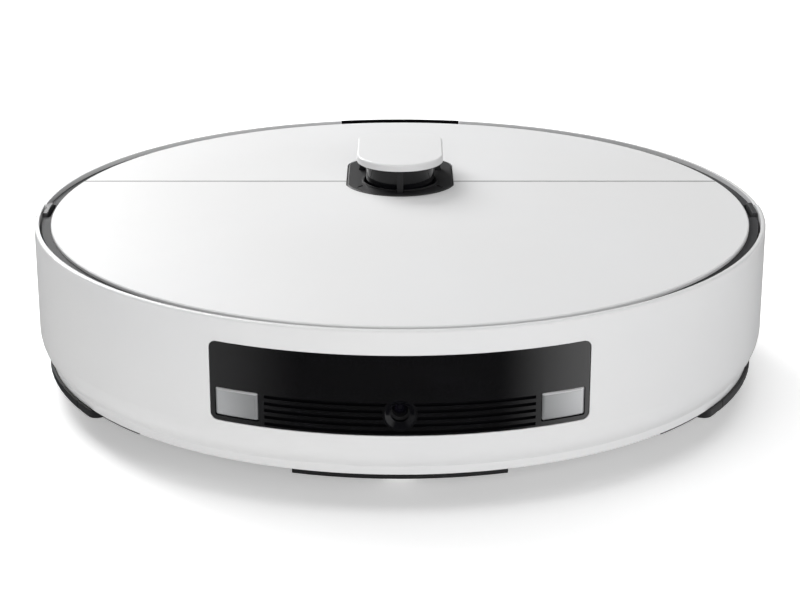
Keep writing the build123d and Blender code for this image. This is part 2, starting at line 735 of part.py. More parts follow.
def make_line_lasers():
    """Two line projectors that look out through the dark upper half of the window."""
    laser = rod_y(30, -160, -150, 61, 5) + block(23, 37, -150, -142, 54, 68)
    laser += block(28, 32, -146, -142, 40, 55) + block(26, 34, -147, -136, bracket_z, 41)
    return laser, mirror(laser, about=Plane.YZ)


# ---- laser turret ------------------------------------------------------------------------------

def make_lds_base():
    tray = soft_block(-25.5, 25.5, 24, 95, 59, 61.5, 10)
    tray += soft_block(-25.5, 25.5, 24, 95, 59, 70, 10) - soft_block(-23.6, 23.6, 25.9, 93.1, 50, 80, 8.5)
    tray += post(0, turret_y, 56, 63.5, 10)
    tray -= post(0, turret_y, 50, 70, 6.08)
    tray -= post(0, lds_motor_y, 50, 70, 3.0)
    ears = both_sides(block(24.5, 30, 30, 38, 59, deck_bottom) + block(24.5, 30, 84, 92, 59, deck_bottom))
    motor = post(0, lds_motor_y, 44, 58.9, 8)
    return tray + ears, motor - post(0, lds_motor_y, 40, 70, 1.1)


def make_lds_turret():
    body = post(0, turret_y, 63.8, 64.6, pulley_radius + 1.2)
    body += post(0, turret_y, 64.5, 68.5, pulley_radius - 0.8)
    body += post(0, turret_y, 68.4, 69.2, pulley_radius + 1.2)
    body += post(0, turret_y, 69, 91.2, turret_radius)
    body = body + post(0, turret_y, 57, 64, 6.0)
    for x, r in ((-6.5, 4.4), (6.5, 3.2)):
        body -= rod_y(x, turret_y + 10, turret_y + 30, 86.5, r)
    return body


def make_lds_lenses():
    lenses = []
    for x, r in ((-6.5, 4.3), (6.5, 3.1)):
        lenses.append(rod_y(x, turret_y + 10.1, turret_y + 13.2, 86.5, r))
    return lenses


def make_lds_motor_pulley():
    y = lds_motor_y
    pulley = post(0, y, 63.8, 64.6, lds_motor_pulley + 1.2) + post(0, y, 64.5, 68.5, lds_motor_pulley - 0.8)
    return pulley + post(0, y, 68.4, 69.2, lds_motor_pulley + 1.2) + post(0, y, 50, 64, 1.0)


def make_lds_belt():
    """Round belt around the turret and the motor pulley, clear of both by a tenth of a millimetre."""
    def loop(grow, z0, z1):
        big, small = pulley_radius - 0.7 + grow, lds_motor_pulley - 0.7 + grow
        reach = lds_motor_y - turret_y
        spread = acos((big - small) / reach)
        points = []
        for y, r, side in ((turret_y, big, 1), (lds_motor_y, small, 1),
                           (lds_motor_y, small, -1), (turret_y, big, -1)):
            points.append((side * r * sin(spread), y + r * cos(spread)))
        band = Pos(0, 0, z0) * extrude(make_face(Polyline(*points, close=True)), z1 - z0)
        return band + post(0, turret_y, z0, z1, big) + post(0, lds_motor_y, z0, z1, small)
    return loop(1.0, 65.4, 67.6) - loop(0.0, 60, 70)


strut_places = [(0.0, 28.1, 3.2, 2.4), (-19.6, 70.0, 2.4, 3.4), (19.6, 70.0, 2.4, 3.4)]


def make_lds_plinth():
    """Fixed surround of the turret, just proud of the cover."""
    surround = Pos(0, 0, deck_top) * extrude(plinth_outline(), 2.3)
    surround = chamfer(surround.edges().group_by(Axis.Z)[-1], 0.7)
    surround -= post(0, turret_y, 70, 90, turret_radius + 1.3)
    surround += ring_at(turret_y, turret_radius + 2.0, turret_radius + 1.2, deck_top, deck_top + 2.9)
    for x, y, w, d in strut_places:
        surround -= block(x - w / 2 - 0.35, x + w / 2 + 0.35, y - d / 2 - 0.35, y + d / 2 + 0.35, 70, 90)
    return surround


def ring_at(y, outer, inner, z0, z1):
    return post(0, y, z0, z1, outer) - post(0, y, z0 - 1, z1 + 1, inner)


def make_lds_cap_frame():
    """Three struts that hold the cap, on a ring under the plinth that rides on the deck's springs."""
    low = deck_top - 2.6
    frame = soft_block(-23.4, 23.4, 25.6, 89.8, low, low + 1.5, 11)
    frame -= soft_block(-19.4, 19.4, 30.0, 87.6, 60, 90, 9)
    frame -= post(0, turret_y, 60, 90, turret_radius + 1.6)
    for x, y, w, d in strut_places:
        frame += block(x - w / 2, x + w / 2, y - d / 2, y + d / 2, low, cap_top - cap_thickness)
    roof = Pos(0, 0, cap_top - cap_thickness - 0.8) * extrude(cap_outline(1.4), 0.8)
    return frame + roof


def make_lds_cap():
    cap = Pos(0, 0, cap_top - cap_thickness) * extrude(cap_outline(), cap_thickness)
    return fillet(cap.edges().group_by(Axis.Z)[-1], 0.9)


# ---- caster ------------------------------------------------------------------------------------

def make_caster_fork():
    fork = post(0, caster_y, 14.6, 18.5, 16.8)
    axle_y = caster_y + caster_trail
    for side in (-1, 1):
        x0, x1 = sorted((side * 7.4, side * 10.4))
        ear = rod(x0, x1, axle_y, caster_wheel_radius, 5.0)
        ear += block(x0, x1, axle_y - 5, axle_y + 5, caster_wheel_radius, 15)
        fork += ear
    fork -= block(-7.4, 7.4, axle_y - 10.2, axle_y + 10.2, 0, 19)
    fork += post(0, caster_y, 20.2, 22.2, 16.0) + post(0, caster_y, 18, 21, 5)
    fork += ring_at(caster_y, 16.8, 14.0, 18.4, 21) - block(-7.4, 7.4, axle_y - 10.2, axle_y + 10.2, 0, 19.6)
    fork += post(0, caster_y, 20, 34, 4.0)
    return fork - rod(-20, 20, axle_y, caster_wheel_radius, 1.55)


def make_caster_wheel():
    axle_y = caster_y + caster_trail
    wheel = rod(-7.0, 7.0, axle_y, caster_wheel_radius, caster_wheel_radius)
    wheel = fillet(wheel.edges(), 1.2)
    return wheel + rod(-10.2, 10.2, axle_y, caster_wheel_radius, 1.5)


# ---- drive wheels ------------------------------------------------------------------------------

def spur_gear(teeth, module, width):
    """A spur gear in the XY plane with 20 degree teeth and a little backlash. A tooth points along +X."""
    pitch = teeth * module / 2
    base = pitch * cos(radians(20))
    tip = pitch + 0.9 * module
    root = pitch - 1.2 * module
    half_tooth = pi / (2 * teeth) * 0.93
    involute = tan(radians(20)) - radians(20)

    def flank(r):
        if r <= base:
            return half_tooth + involute
        slope = acos(base / r)
        return half_tooth + involute - (tan(slope) - slope)

    start = max(base, root)
    radii = [start + (tip - start) * i / 4 for i in range(5)]
    if root < base - 0.01:
        radii.insert(0, root)
    points = []
    for i in range(teeth):
        centre = 2 * pi * i / teeth
        points += [(r * cos(centre - flank(r)), r * sin(centre - flank(r))) for r in radii]
        points += [(r * cos(centre + flank(r)), r * sin(centre + flank(r))) for r in reversed(radii)]
    return extrude(make_face(Polyline(*points, close=True)), width)


centre_distance = gear_module * (pinion_teeth + gear_teeth) / 2
motor_y = wheel_y + centre_distance * cos(radians(motor_lift))
motor_z = wheel_radius + centre_distance * sin(radians(motor_lift))
gear_spin = motor_lift                                  # a gear tooth points at the motor
pinion_spin = motor_lift + 180 + 180 / pinion_teeth     # and a pinion gap points back


def gear_on_x(gear, x0, y, z, spin):
    """Stands a gear up so that it turns about X. Its spin is measured from +Y towards +Z."""
    return Pos(x0, y, z) * Rot(spin, 0, 0) * Rot(0, 90, 0) * Rot(0, 0, 90) * gear


def make_wheel_arm():
    circles = [(wheel_y, wheel_radius, 21.6), (motor_y, motor_z, 12.0), (pivot_y, pivot_z, 6.5)]
    case = x_hull(case_inner_x, case_outer_x, *circles)
    hollow = x_hull(case_inner_x + 1.6, case_outer_x - 1.6,
                    (wheel_y, wheel_radius, 20.0), (motor_y, motor_z, 9.0))
    case -= hollow
    case -= rod(90, 120, pivot_y, pivot_z, 2.55)
    case -= rod(case_outer_x - 5, 120, wheel_y, wheel_radius, 3.08)
    case -= rod(90, case_inner_x + 5, motor_y, motor_z, 2.1)
    return case


def make_wheel_motor():
    motor = rod(66, case_inner_x, motor_y, motor_z, 11.5) + rod(63.5, 66, motor_y, motor_z, 4)
    return motor - rod(60, 100, motor_y, motor_z, 2.1)


def make_motor_pinion():
    pinion = gear_on_x(spur_gear(pinion_teeth, gear_module, 7), 101, motor_y, motor_z, pinion_spin)
    return pinion + rod(70, 109, motor_y, motor_z, 2.0)


def make_wheel_gear():
    gear = gear_on_x(spur_gear(gear_teeth, gear_module, 5), 102, wheel_y, wheel_radius, gear_spin)
    return gear + rod(99.5, 110.5, wheel_y, wheel_radius, 5) + rod(100, 139, wheel_y, wheel_radius, 3.0)


def make_wheel_hub():
    hub = rod(wheel_inner_x, wheel_outer_x, wheel_y, wheel_radius, 28.0)
    hub -= rod(wheel_outer_x - 5, 150, wheel_y, wheel_radius, 24.5)
    hub += rod(wheel_outer_x - 6, wheel_outer_x - 0.5, wheel_y, wheel_radius, 8)
    for i in range(5):
        spoke = Pos(0, wheel_y, wheel_radius) * Rot(72 * i, 0, 0)
        hub += spoke * block(wheel_outer_x - 6, wheel_outer_x - 1.5, 7, 25.5, -2.2, 2.2)
    return hub - rod(100, 139.2, wheel_y, wheel_radius, 3.0)


def make_tyre():
    lug_count = 26
    tyre = rod(wheel_inner_x - 0.2, wheel_outer_x + 0.2, wheel_y, wheel_radius, 33.0)
    centre_band = rod(wheel_inner_x + 9, wheel_outer_x - 9, wheel_y, wheel_radius, wheel_radius)
    tyre += centre_band
    for i in range(lug_count):
        turn = Pos(0, wheel_y, wheel_radius) * Rot(360 / lug_count * i, 0, 0)
        lug = block(wheel_inner_x, wheel_inner_x + 11, 32, wheel_radius - 0.05, -1.9, 1.9)
        outer_lug = block(wheel_outer_x - 11, wheel_outer_x, 32, wheel_radius - 0.05, -1.9, 1.9)
        lug += Rot(180 / lug_count, 0, 0) * outer_lug
        tyre += turn * lug
    return tyre - rod(100, 160, wheel_y, wheel_radius, 28.0)


def make_pivot_pin():
    return rod(92.5, 115.5, pivot_y, pivot_z, 2.5) + rod(91, 92.8, pivot_y, pivot_z, 4)


# ---- write every node --------------------------------------------------------------------------

def main():
    os.makedirs("parts", exist_ok=True)
    for old in os.listdir("parts"):
        os.remove(os.path.join("parts", old))

    save("bumper_shell", make_bumper())
    save("sensor_window", make_sensor_window())
    save("headlamps", *make_headlamps())
    save("rear_shell", make_rear_shell())
    save("rear_window", make_rear_window())
    save("charging_contacts", *make_charging_contacts())
    save("front_cover", make_front_cover())
    save("rear_cover", make_rear_cover())
    save("cover_magnets", *make_cover_magnets())
    save("power_button", make_button("power_button"))
    save("home_button", make_button("home_button"))
    save("top_deck", make_top_deck())
    save("chassis_base", make_chassis_base())
    save("cliff_sensors", *make_cliff_sensors())
    save("battery_pack", make_battery_pack())
    save("battery_door", make_battery_door())
    save("door_screws", *make_door_screws())
    save("main_board", make_main_board())
    save("brush_chamber", make_brush_chamber())
    save("brush_guard", make_brush_guard())
    save("brush_core", make_brush_core())
    save("brush_fins", *make_brush_fins())
    save("brush_drive", make_brush_drive())
    save("side_brush_drive", make_side_brush_drive())
    save("side_brush_hub", make_side_brush_hub())
    save("side_brush_bristles", *make_side_brush_bristles())
    save("dustbin_body", make_dustbin_body())
    save("dustbin_lid", make_dustbin_lid())
    save("dustbin_handle", make_dustbin_handle())
    save("dust_filter", make_dust_filter())
    save("fan_housing", make_fan_housing(), make_fan_motor())
    save("fan_impeller", make_fan_impeller())
    save("bumper_springs", *make_bumper_springs())
    save("bump_switches", *make_bump_switches())
    save("camera_module", make_camera_module())
    save("camera_lens", make_camera_lens())
    save("line_lasers", *make_line_lasers())
    save("lds_base", *make_lds_base())
    save("lds_turret", make_lds_turret())
    save("lds_lenses", *make_lds_lenses())
    save("lds_motor_pulley", make_lds_motor_pulley())
    save("lds_belt", make_lds_belt())
    save("lds_plinth", make_lds_plinth())
    save("lds_cap_frame", make_lds_cap_frame())
    save("lds_cap", make_lds_cap())
    save("caster_fork", make_caster_fork())
    save("caster_wheel", make_caster_wheel())
    pin = make_pivot_pin()
    save("pivot_pins", pin, mirror(pin, about=Plane.YZ))
    wheel_parts = {"wheel_arm": make_wheel_arm, "wheel_motor": make_wheel_motor,
                   "motor_pinion": make_motor_pinion, "wheel_gear": make_wheel_gear,
                   "wheel_hub": make_wheel_hub, "tyre": make_tyre}
    for name, make in wheel_parts.items():
        shape = make()
        save(f"right_{name}", mirror(shape, about=Plane.YZ))
        save(f"left_{name}", shape)


main()
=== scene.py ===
import json
import math

import bmesh
import bpy
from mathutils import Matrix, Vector


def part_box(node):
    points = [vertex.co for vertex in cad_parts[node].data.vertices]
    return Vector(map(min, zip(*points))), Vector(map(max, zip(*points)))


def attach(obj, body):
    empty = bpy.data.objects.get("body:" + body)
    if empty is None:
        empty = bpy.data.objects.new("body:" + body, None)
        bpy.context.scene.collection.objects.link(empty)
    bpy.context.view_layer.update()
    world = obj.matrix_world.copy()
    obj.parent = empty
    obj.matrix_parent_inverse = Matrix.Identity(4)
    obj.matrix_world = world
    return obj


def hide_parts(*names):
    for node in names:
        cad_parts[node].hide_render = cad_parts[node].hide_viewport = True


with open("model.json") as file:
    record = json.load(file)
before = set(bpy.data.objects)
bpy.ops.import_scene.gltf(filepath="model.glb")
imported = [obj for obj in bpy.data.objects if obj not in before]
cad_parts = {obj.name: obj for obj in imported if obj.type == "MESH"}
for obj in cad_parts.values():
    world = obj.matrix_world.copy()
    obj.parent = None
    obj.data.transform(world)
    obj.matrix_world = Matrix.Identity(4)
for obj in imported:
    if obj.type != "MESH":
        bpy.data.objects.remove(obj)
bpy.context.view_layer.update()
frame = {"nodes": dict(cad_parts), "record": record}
nodes = frame["nodes"]
slotOfNode = {part["node"]: part["material_slot"] for part in frame["record"]["subparts"]}
print("frame loaded,", len(nodes), "nodes")


class Wire:
    # one output socket; + - * / < > on it add Math nodes
    def __init__(self, tree, socket):
        self.tree = tree
        self.socket = socket

    def maths(self, operation, first, second=0.0):
        return addNode(self.tree, "ShaderNodeMath", {"operation": operation}, {0: first, 1: second})

    def __add__(self, other):
        return self.maths("ADD", self, other)

    def __radd__(self, other):
        return self.maths("ADD", other, self)

    def __sub__(self, other):
        return self.maths("SUBTRACT", self, other)

    def __mul__(self, other):
        return self.maths("MULTIPLY", self, other)

    def __truediv__(self, other):
        return self.maths("DIVIDE", self, other)

    def __gt__(self, other):
        return self.maths("GREATER_THAN", self, other)

    def __lt__(self, other):
        return self.maths("LESS_THAN", self, other)


def addNode(tree, kind, settings=None, inputs=None, output=0):
    node = tree.nodes.new(kind)
    for name, value in (settings or {}).items():
        setattr(node, name, value)
    for name, value in (inputs or {}).items():
        if isinstance(value, Wire):
            tree.links.new(value.socket, node.inputs[name])
        else:
            node.inputs[name].default_value = value
    return Wire(tree, node.outputs[output])


class Finish:
    # a material under construction, with its Principled shader and its object coordinates
    def __init__(self, name, **constants):
        self.material = bpy.data.materials.new(name)
        self.material.use_nodes = True
        self.tree = self.material.node_tree
        self.shader = self.tree.nodes["Principled BSDF"]
        self.place = self.node("ShaderNodeTexCoord", output="Object")
        for socket, value in constants.items():
            self.shader.inputs[socketNames[socket]].default_value = value

    def node(self, kind, settings=None, inputs=None, output=0):
        return addNode(self.tree, kind, settings, inputs, output)

    def feed(self, socket, wire):
        self.tree.links.new(wire.socket, self.shader.inputs[socket])

    def noise(self, scale, detail=2.0, rough=0.5, stretch=(1, 1, 1)):
        where = self.node("ShaderNodeMapping", None, {"Vector": self.place, "Scale": stretch})
        return self.node("ShaderNodeTexNoise", None,
                         {"Vector": where, "Scale": scale, "Detail": detail, "Roughness": rough})

    def mix(self, factor, first, second):           # sockets 6 and 7 take colours, and output 2 gives one
        return self.node("ShaderNodeMix", {"data_type": "RGBA"}, {0: factor, 6: first, 7: second}, 2)

    def band(self, wire, low, high, toLow=0.0, toHigh=1.0):
        return self.node("ShaderNodeMapRange", {"interpolation_type": "SMOOTHSTEP"},
                         {0: wire, 1: low, 2: high, 3: toLow, 4: toHigh})

    def axis(self, index):
        return self.node("ShaderNodeSeparateXYZ", None, {0: self.place}, index)

    def bump(self, height, depth, strength=1.0, edge=0.0):
        inputs = {"Height": height, "Distance": depth, "Strength": strength}
        if edge:
            inputs["Normal"] = self.node("ShaderNodeBevel", {"samples": 4}, {"Radius": edge})
        self.feed("Normal", self.node("ShaderNodeBump", None, inputs))


socketNames = {"metallic": "Metallic", "coat": "Coat Weight", "coatRoughness": "Coat Roughness", "ior": "IOR",
               "coatIor": "Coat IOR", "sheen": "Sheen Weight", "specular": "Specular IOR Level"}


# each moulding: its colour, the shade of its uneven places, roughness, grain per metre and its depth,
# how much dust it holds, clear coat and how far its edges are rounded; the white shell also gets painted
# shade on the face of its wall that looks into the recess, and the white cover a painted shadow line along
# its seam
mouldings = {
    "white_shell": dict(colour=(0.675, 0.675, 0.675), shade=(0.655, 0.657, 0.662),
                        rough=0.38, grain=2600, depth=0.00002, dust=0.0, coat=0.0, edge=0.0004,
                        specular=0.3, inside=(0.06, 0.06, 0.062)),
    "white_cover": dict(colour=(0.695, 0.695, 0.695), shade=(0.678, 0.68, 0.684),
                        rough=0.46, grain=3200, depth=0.00003, dust=0.0, coat=0.0, edge=0.0003,
                        specular=0.3, seam=True),
    "deck_grey": dict(colour=(0.045, 0.045, 0.047), shade=(0.036, 0.036, 0.038),
                      rough=0.58, grain=1800, depth=0.00004, dust=0.05, coat=0.0, edge=0.0003,
                      specular=0.15),
    "base_black": dict(colour=(0.014, 0.014, 0.015), shade=(0.019, 0.019, 0.020),
                       rough=0.5, grain=1500, depth=0.00005, dust=0.03, coat=0.0, edge=0.0003,
                       specular=0.3),
    "plinth_black": dict(colour=(0.018, 0.018, 0.019), shade=(0.024, 0.024, 0.025),
                         rough=0.5, grain=2400, depth=0.00002, dust=0.02, coat=0.0, edge=0.0003,
                         specular=0.3),
    "hub_grey": dict(colour=(0.12, 0.12, 0.125), shade=(0.10, 0.10, 0.104),
                     rough=0.48, grain=1600, depth=0.00004, dust=0.12, coat=0.0, edge=0.0003),
    "key_grey": dict(colour=(0.42, 0.43, 0.44), shade=(0.38, 0.39, 0.40),
                     rough=0.42, grain=2600, depth=0.00002, dust=0.0, coat=0.1, edge=0.0003),
    "gear_plastic": dict(colour=(0.62, 0.60, 0.52), shade=(0.55, 0.53, 0.45),
                         rough=0.36, grain=900, depth=0.00001, dust=0.0, coat=0.0, edge=0.0001),
    "brush_core_grey": dict(colour=(0.05, 0.05, 0.055), shade=(0.07, 0.07, 0.074),
                            rough=0.5, grain=1400, depth=0.00004, dust=0.15, coat=0.0, edge=0.0003),
    "caster_white": dict(colour=(0.58, 0.58, 0.57), shade=(0.48, 0.48, 0.47),
                         rough=0.45, grain=1200, depth=0.00003, dust=0.2, coat=0.0, edge=0.0003),
    "bin_smoke": dict(colour=(0.035, 0.035, 0.038), shade=(0.05, 0.05, 0.054),
                      rough=0.16, grain=300, depth=0.00001, dust=0.03, coat=0.5, edge=0.0003),
}
mouldingWear = dict(cloud=9.0, specks=420.0, speckRough=0.6, coatRoughness=0.12, specular=0.5,
                    rougher=0.05, smoother=0.04)
dustColour = (0.34, 0.32, 0.29, 1)
# where the shell's wall gets painted shade: radii of its inner and outer faces and the lowest height
shadedWallZone = dict(inner=0.160, outer=0.1726, low=0.036)
# the painted shadow line along the seam of the covers: its place, half width, top and colour
seamShade = dict(place=0.0485, half=0.0008, top=0.083, colour=(0.30, 0.30, 0.30))


def opaque(colour):
    return (*colour, 1.0)


def makeMoulding(name, look):
    wear = mouldingWear
    finish = Finish(name, coat=look["coat"], coatRoughness=wear["coatRoughness"],
                    specular=look.get("specular", wear["specular"]))
    cloud = finish.noise(wear["cloud"], 3.0)                    # slow unevenness of the moulding
    colour = finish.mix(finish.band(cloud, 0.35, 0.7), opaque(look["colour"]), opaque(look["shade"]))
    rough = finish.band(cloud, 0.3, 0.75, look["rough"] - wear["smoother"], look["rough"] + wear["rougher"])
    if look["dust"]:
        specks = finish.band(finish.noise(wear["specks"], 4.0, 0.7), 0.52, 0.78, 0.0, look["dust"])
        colour = finish.mix(specks, colour, dustColour)
        rough = rough + specks * wear["speckRough"]
    if "inside" in look:                                        # painted shade: the face of the shell's wall within the rim is coloured dark, where shade falls in the recess
        across, along = finish.axis(0), finish.axis(1)
        reach = across * across + along * along
        ring = (reach < shadedWallZone["outer"] ** 2) * (reach > shadedWallZone["inner"] ** 2)
        inner = ring * (finish.axis(2) > shadedWallZone["low"])
        colour = finish.mix(inner, colour, opaque(look["inside"]))
    if "seam" in look:                                          # painted shadow: a grey line on the cover along the gap where the two covers meet, kept below the turret cap
        offset = finish.axis(1) - seamShade["place"]
        edge = (offset * offset < seamShade["half"] ** 2) * (finish.axis(2) < seamShade["top"])
        colour = finish.mix(edge, colour, opaque(seamShade["colour"]))
    finish.feed("Base Color", colour)
    finish.feed("Roughness", rough)
    grain = finish.noise(look["grain"], 2.0, 0.6)
    finish.bump(grain, look["depth"], 1.0, look["edge"])
    return finish.material


windowLook = dict(colour=(0.0022, 0.0022, 0.0026), smear=(0.004, 0.004, 0.005), rough=0.06, roughSmear=0.12,
                  smears=28.0, coatRoughness=0.03, coatIor=1.9, ior=1.5, specular=0.05,
                  grooveRadius=0.1740, grooveRough=0.6, ripples=60.0, depth=0.00001, edge=0.00025)


def makeWindowGloss(name, look):
    # clear gloss over black; the bottoms of the grooves have no gloss coat
    finish = Finish(name, coatRoughness=look["coatRoughness"], ior=look["ior"], specular=look["specular"],
                    coatIor=look["coatIor"])
    smear = finish.band(finish.noise(look["smears"], 4.0, 0.6, (1, 1, 2.5)), 0.48, 0.8)
    across, along = finish.axis(0), finish.axis(1)
    face = across * across + along * along > look["grooveRadius"] ** 2
    finish.feed("Base Color", finish.mix(smear, opaque(look["colour"]), opaque(look["smear"])))
    gloss = look["rough"] + smear * (look["roughSmear"] - look["rough"])
    finish.feed("Roughness", look["grooveRough"] + face * (gloss - look["grooveRough"]))
    finish.feed("Coat Weight", face)
    finish.bump(finish.noise(look["ripples"], 1.0), look["depth"], 0.3, look["edge"])
    return finish.material


turretLook = dict(colour=(0.004, 0.004, 0.005), sensor=(0.02, 0.006, 0.008), smear=(0.006, 0.006, 0.007),
                  rough=0.08, rougher=0.08, specular=0.35, smears=40.0, ripples=60.0,
                  depth=0.00001, edge=0.0002)


def makeTurretGloss(name, colour):
    look = turretLook
    finish = Finish(name, specular=look["specular"])
    smear = finish.band(finish.noise(look["smears"], 4.0, 0.6, (1, 1, 2.5)), 0.48, 0.8)
    finish.feed("Base Color", finish.mix(smear, opaque(colour), opaque(look["smear"])))
    finish.feed("Roughness", look["rough"] + smear * look["rougher"])
    finish.bump(finish.noise(look["ripples"], 1.0), look["depth"], 0.3, look["edge"])
    return finish.material


# lamp colours: painted shade sets the inner end darker than the outer end, and the bevelled top edge has a
# painted highlight
lampLook = dict(outer=(0.56, 0.57, 0.58), inner=(0.33, 0.335, 0.34), bevelHighlight=(0.86, 0.86, 0.87),
                bevelHeight=0.0497, shadeFrom=0.058, shadeTo=0.079,
                metallic=0.45, coat=0.4, coatRoughness=0.08,
                rough=0.34, rougher=0.03, pitch=0.0011, depth=0.00004, ribStrength=0.12)


def makeLampDiffuser(name, look):
    # a satin reflector behind a clear cover, with fine upright ribs and a lighter outer end: painted shade
    # darkens the inner end, and a painted highlight lightens the bevelled top edge
    finish = Finish(name, metallic=look["metallic"], coat=look["coat"], coatRoughness=look["coatRoughness"])
    phase = finish.axis(0) * (2 * math.pi / look["pitch"])
    ribs = finish.node("ShaderNodeMath", {"operation": "SINE"}, {0: phase})
    outwards = finish.node("ShaderNodeMath", {"operation": "ABSOLUTE"}, {0: finish.axis(0)})
    # painted shade: darker towards the inner end
    shade = finish.band(outwards, look["shadeFrom"], look["shadeTo"])
    colour = finish.mix(shade, opaque(look["inner"]), opaque(look["outer"]))
    # painted highlight: the bevelled top edge is coloured light, as where it catches the top light
    bevelHighlight = finish.axis(2) > look["bevelHeight"]
    finish.feed("Base Color", finish.mix(bevelHighlight, colour, opaque(look["bevelHighlight"])))
    finish.feed("Roughness", look["rough"] + finish.noise(40.0) * look["rougher"])
    finish.bump(ribs, look["depth"], look["ribStrength"])
    return finish.material


metals = {      # colour, roughness, brush lines per metre along x, y and z
    "steel": dict(colour=(0.55, 0.55, 0.54), rough=0.28, lines=(900, 900, 60)),
    "motor_can": dict(colour=(0.42, 0.42, 0.43), rough=0.34, lines=(40, 1200, 1200)),
    "contact_metal": dict(colour=(0.66, 0.60, 0.45), rough=0.22, lines=(60, 60, 1500)),
}
metalWear = dict(patches=120.0, dull=0.7, lineRough=0.14, patchRough=0.1, depth=0.00002, edge=0.0001)


def makeMetal(name, look):
    wear = metalWear
    finish = Finish(name, metallic=1.0)
    where = finish.node("ShaderNodeMapping", None, {"Vector": finish.place, "Scale": look["lines"]})
    lines = finish.node("ShaderNodeTexNoise", None, {"Vector": where, "Scale": 1.0, "Detail": 2.0})
    tarnish = finish.band(finish.noise(wear["patches"], 3.0), 0.5, 0.8)
    dull = tuple(wear["dull"] * part for part in look["colour"])
    finish.feed("Base Color", finish.mix(tarnish * 0.5, opaque(look["colour"]), opaque(dull)))
    finish.feed("Roughness", look["rough"] + lines * wear["lineRough"] + tarnish * wear["patchRough"])
    finish.bump(lines, wear["depth"], 0.6, wear["edge"])
    return finish.material


rubbers = {     # colour, worn colour, roughness, grain per metre, depth, dust
    "tyre_rubber": dict(colour=(0.022, 0.022, 0.022), worn=(0.05, 0.049, 0.047), rough=0.72,
                        grain=900, depth=0.00008, dust=0.35),
    "fin_rubber": dict(colour=(0.36, 0.045, 0.012), worn=(0.24, 0.04, 0.02), rough=0.55,
                       grain=700, depth=0.00005, dust=0.2),
    "belt_rubber": dict(colour=(0.02, 0.02, 0.02), worn=(0.035, 0.035, 0.035), rough=0.65,
                        grain=1500, depth=0.00004, dust=0.05),
    "bristle_black": dict(colour=(0.03, 0.03, 0.032), worn=(0.07, 0.068, 0.065), rough=0.45,
                          grain=500, depth=0.00002, dust=0.2),
}
rubberWear = dict(sheen=0.12, specular=0.35, patches=38.0, dust=260.0, rougher=0.1, edge=0.0002)


def makeRubber(name, look):
    wear = rubberWear
    finish = Finish(name, sheen=wear["sheen"], specular=wear["specular"])
    worn = finish.band(finish.noise(wear["patches"], 4.0, 0.6), 0.42, 0.72)
    dust = finish.band(finish.noise(wear["dust"], 5.0, 0.7), 0.5, 0.8, 0.0, look["dust"])
    colour = finish.mix(worn, opaque(look["colour"]), opaque(look["worn"]))
    finish.feed("Base Color", finish.mix(dust, colour, dustColour))
    finish.feed("Roughness", look["rough"] + worn * wear["rougher"])
    finish.bump(finish.noise(look["grain"], 3.0, 0.65), look["depth"], 0.8, wear["edge"])
    return finish.material


filterLook = dict(paper=(0.72, 0.73, 0.70), soiled=(0.46, 0.44, 0.40), soil=0.45, patches=45.0, fibres=1400.0,
                  sheen=0.3, rough=0.82, rougher=0.12, depth=0.00012)


def makeFilterPaper(name, look):
    finish = Finish(name, sheen=look["sheen"])
    fibres = finish.noise(look["fibres"], 4.0, 0.7, (1, 1, 0.2))
    soil = finish.band(finish.noise(look["patches"], 4.0), 0.45, 0.75, 0.0, look["soil"])
    finish.feed("Base Color", finish.mix(soil, opaque(look["paper"]), opaque(look["soiled"])))
    finish.feed("Roughness", look["rough"] + fibres * look["rougher"])
    finish.bump(fibres, look["depth"], 0.8)
    return finish.material


boardLook = dict(mask=(0.008, 0.07, 0.03), track=(0.02, 0.13, 0.06), pad=(0.62, 0.55, 0.30),
                 chip=(0.012, 0.012, 0.013), thickness=0.00175, tracks=120.0, trackWidth=0.03,
                 vias=300.0, viaSize=0.16, rough=0.3, rougher=0.2, depth=0.00003)


def makeBoard(name, look):
    finish = Finish(name)
    black, white = (0, 0, 0, 1), (1, 1, 1, 1)
    tracks = finish.node("ShaderNodeTexBrick", None,
                         {"Vector": finish.place, "Scale": look["tracks"], "Mortar Size": look["trackWidth"],
                          "Color1": black, "Color2": black, "Mortar": white})
    vias = finish.node("ShaderNodeTexVoronoi", None, {"Vector": finish.place, "Scale": look["vias"]})
    colour = finish.mix(tracks, opaque(look["mask"]), opaque(look["track"]))
    colour = finish.mix(vias < look["viaSize"], colour, opaque(look["pad"]))
    # what stands above the board itself is a component
    raised = finish.axis(2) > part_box("main_board")[0][2] + look["thickness"]
    finish.feed("Base Color", finish.mix(raised, colour, opaque(look["chip"])))
    finish.feed("Roughness", look["rough"] + raised * look["rougher"])
    finish.bump(tracks, look["depth"], 0.5)
    return finish.material


batteryLook = dict(colour=(0.02, 0.035, 0.10), sheen=(0.03, 0.05, 0.13), coat=0.3, coatRoughness=0.2,
                   wrinkles=90.0, rough=0.26, rougher=0.15, depth=0.0003, edge=0.0004)


def makeBatteryWrap(name, look):
    finish = Finish(name, coat=look["coat"], coatRoughness=look["coatRoughness"])
    wrinkle = finish.noise(look["wrinkles"], 4.0, 0.55, (0.3, 1, 1))
    crest = finish.band(wrinkle, 0.4, 0.7)
    finish.feed("Base Color", finish.mix(crest, opaque(look["colour"]), opaque(look["sheen"])))
    finish.feed("Roughness", look["rough"] + wrinkle * look["rougher"])
    finish.bump(wrinkle, look["depth"], 0.4, look["edge"])
    return finish.material


lensLook = dict(blue=(0.003, 0.004, 0.007), violet=(0.008, 0.006, 0.011), ior=1.6, patches=160.0,
                rough=0.02, rougher=0.03, depth=0.000002)


def makeLens(name, look):
    finish = Finish(name, coat=1.0, coatRoughness=0.0, ior=look["ior"])
    coating = finish.noise(look["patches"], 1.0)
    finish.feed("Base Color", finish.mix(coating, opaque(look["blue"]), opaque(look["violet"])))
    finish.feed("Roughness", look["rough"] + coating * look["rougher"])
    finish.bump(coating, look["depth"], 0.2)
    return finish.material


